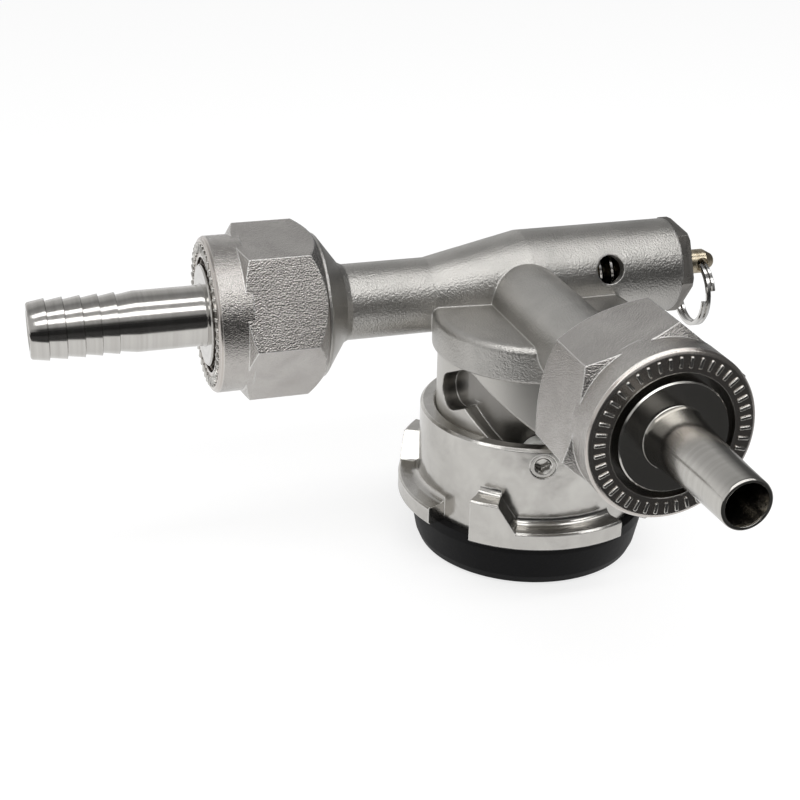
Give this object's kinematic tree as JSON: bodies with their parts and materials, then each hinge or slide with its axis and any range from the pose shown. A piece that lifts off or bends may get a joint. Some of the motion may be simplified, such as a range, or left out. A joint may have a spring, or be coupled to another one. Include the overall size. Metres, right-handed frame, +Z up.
{
  "type": "keg coupler",
  "caption": "Low twist keg coupler: bayonet base collar, valved body that screws down, gas and beer arms with union nuts and hose tails, and a ringed relief valve.",
  "frame": {"origin": "on the barrel axis, on the underside of the rubber base seal, where the keg's valve enters", "axes": "+Z up along the barrel axis, -X along the gas arm and +X along the relief valve, -Y along the beer arm"},
  "size_m": [0.142, 0.114, 0.0666],
  "materials": {
    "collar_metal": "satin nickel plate",
    "cast_steel": "matt bead-blasted cast stainless steel",
    "nut_metal": "bright cast and plated, grainy flats",
    "turned_steel": "turned and polished stainless steel",
    "black_rubber": "satin black rubber",
    "grey_rubber": "soft grey rubber",
    "white_plastic": "natural acetal",
    "cap_metal": "dull dark turned steel",
    "stem_metal": "dull plated brass",
    "spring_steel": "bright spring steel",
    "ring_steel": "bright polished spring steel"
  },
  "bodies": {
    "base": {"base_collar": "collar_metal", "base_seal": "black_rubber", "cam_screws": "collar_metal", "cam_rollers": "white_plastic"},
    "carriage": {"barrel_o_ring": "black_rubber"},
    "coupler": {"body_casting": "cast_steel", "probe": "turned_steel", "probe_o_ring": "black_rubber", "probe_tip_seal": "grey_rubber", "gas_washer": "grey_rubber", "gas_check_valve": "black_rubber", "beer_washer": "grey_rubber", "ball_cage": "white_plastic", "relief_plug": "cap_metal", "relief_spring": "spring_steel"},
    "gas_nut": {"gas_nut": "nut_metal"},
    "gas_tail": {"gas_tailpiece": "turned_steel"},
    "beer_nut": {"beer_nut": "nut_metal"},
    "beer_tail": {"beer_tailpiece": "turned_steel"},
    "relief": {"relief_stem": "stem_metal", "relief_seal": "grey_rubber"},
    "ring": {"relief_ring": "ring_steel"},
    "ball": {"beer_check_ball": "turned_steel"}
  },
  "joints": [
    {"name": "body_lift", "type": "slide", "parent": "base", "child": "carriage", "axis": [0, 0, -1], "range_m": [0, 0.012]},
    {"name": "body_turn", "type": "hinge", "parent": "carriage", "child": "coupler", "pos_m": [0, 0, 0], "axis": [0, 0, 1], "range_deg": [0, 48]},
    {"name": "gas_nut_turn", "type": "hinge", "parent": "coupler", "child": "gas_nut", "pos_m": [-0.0532, 0.01365, 0.0495], "axis": [-1, 0, 0], "continuous": true},
    {"name": "gas_tail_turn", "type": "hinge", "parent": "coupler", "child": "gas_tail", "pos_m": [-0.0634, 0.01365, 0.0495], "axis": [-1, 0, 0], "continuous": true},
    {"name": "beer_nut_turn", "type": "hinge", "parent": "coupler", "child": "beer_nut", "pos_m": [0, -0.0488, 0.0495], "axis": [0, -1, 0], "continuous": true},
    {"name": "beer_tail_turn", "type": "hinge", "parent": "coupler", "child": "beer_tail", "pos_m": [0, -0.059, 0.0495], "axis": [0, -1, 0], "continuous": true},
    {"name": "relief_pull", "type": "slide", "parent": "coupler", "child": "relief", "axis": [1, 0, 0], "range_m": [0, 0.003], "stiffness_N_per_m": 1500, "springref_m": -0.004, "deforming": ["relief_spring"]},
    {"name": "ring_swing", "type": "hinge", "parent": "relief", "child": "ring", "pos_m": [0.042, 0.01365, 0.0515], "axis": [0, 1, 0], "range_deg": [-100, 20]},
    {"name": "beer_ball_lift", "type": "slide", "parent": "coupler", "child": "ball", "axis": [0, -1, 0], "range_m": [0, 0.0025]}
  ],
  "couplings": [
    {"joint": "body_lift", "follows": "body_turn", "m_per_rad": 0.014197}
  ]
}
